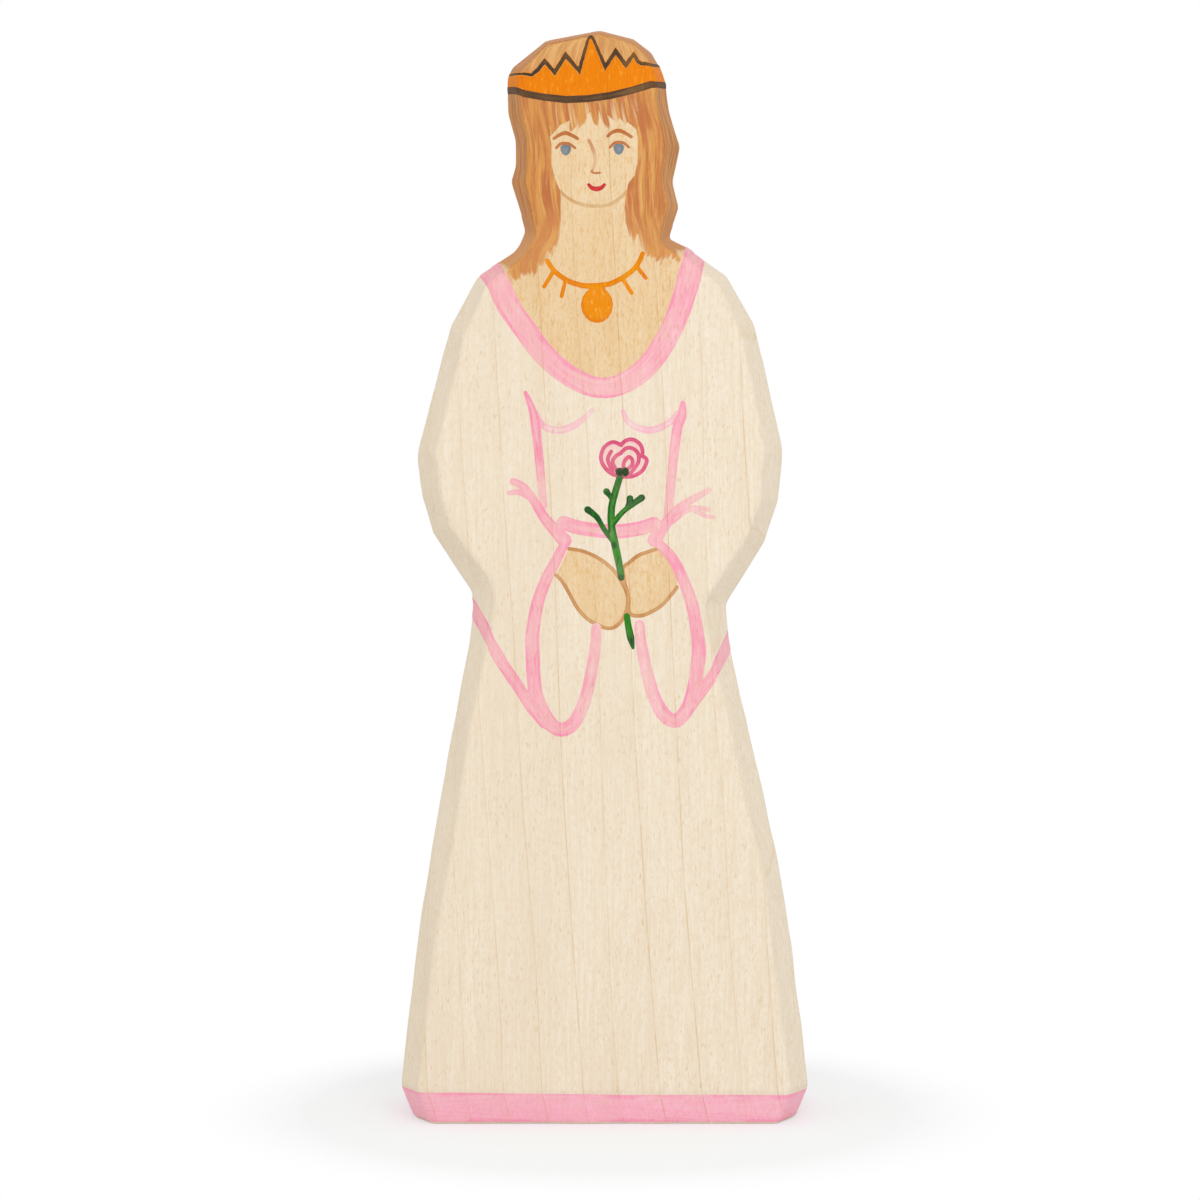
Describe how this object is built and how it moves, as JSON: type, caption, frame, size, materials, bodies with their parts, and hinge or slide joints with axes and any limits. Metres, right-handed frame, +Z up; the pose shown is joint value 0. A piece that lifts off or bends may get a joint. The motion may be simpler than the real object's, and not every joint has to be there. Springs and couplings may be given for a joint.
{
  "type": "wooden princess figure",
  "caption": "Flat standing toy figure of a princess, sawn from a pale board, knife-trimmed round the edge and hand painted with crown, hair, necklace, rose and pink dress trim.",
  "frame": {"origin": "middle of the flat foot that the figure stands on", "axes": "+Z up to the crown, -Y out of the face, +X to the viewer's right from the front"},
  "size_m": [0.053, 0.023, 0.1405],
  "materials": {
    "wood": "sanded pale maple with fine brown growth lines, oiled thinly",
    "skin_glaze": "thin tan glaze, grain showing through",
    "hair_paint": "streaky brown glaze brushed downwards",
    "crown_paint": "orange glaze, thinner at the ends",
    "dark_paint": "thin dark brown line",
    "brown_paint": "fine brown line",
    "blue_paint": "grey blue dab",
    "red_paint": "red stroke",
    "gold_paint": "yellow orange paint with a faint sheen",
    "pink_paint": "thin pink glaze, pooled at the edges of each stroke",
    "rose_paint": "deep pink line",
    "green_paint": "green stroke",
    "dark_green_paint": "dark green dab"
  },
  "bodies": {
    "root": {"wooden_figure": "wood", "skin_glaze": "skin_glaze", "left_hand": "skin_glaze", "right_hand": "skin_glaze", "hair": "hair_paint", "crown_band": "crown_paint", "crown_top_line": "dark_paint", "crown_bottom_line": "dark_paint", "left_eyebrow": "brown_paint", "right_eyebrow": "brown_paint", "left_eyelid": "brown_paint", "right_eyelid": "brown_paint", "nose_line": "brown_paint", "chin_line": "brown_paint", "left_hand_outline": "brown_paint", "right_hand_outline": "brown_paint", "left_iris": "blue_paint", "right_iris": "blue_paint", "lips": "red_paint", "necklace_chain": "gold_paint", "pendant": "gold_paint", "neckline_trim": "pink_paint", "left_bodice_seam": "pink_paint", "right_bodice_seam": "pink_paint", "left_bust_line": "pink_paint", "right_bust_line": "pink_paint", "waist_sash": "pink_paint", "left_bow": "pink_paint", "right_bow": "pink_paint", "left_sleeve_opening": "pink_paint", "right_sleeve_opening": "pink_paint", "left_cuff_edge": "pink_paint", "right_cuff_edge": "pink_paint", "hem_band": "pink_paint", "rose_wash": "pink_paint", "rose_petals": "rose_paint", "rose_calyx": "dark_green_paint", "rose_stem": "green_paint", "rose_stem_end": "green_paint"}
  },
  "joints": []
}
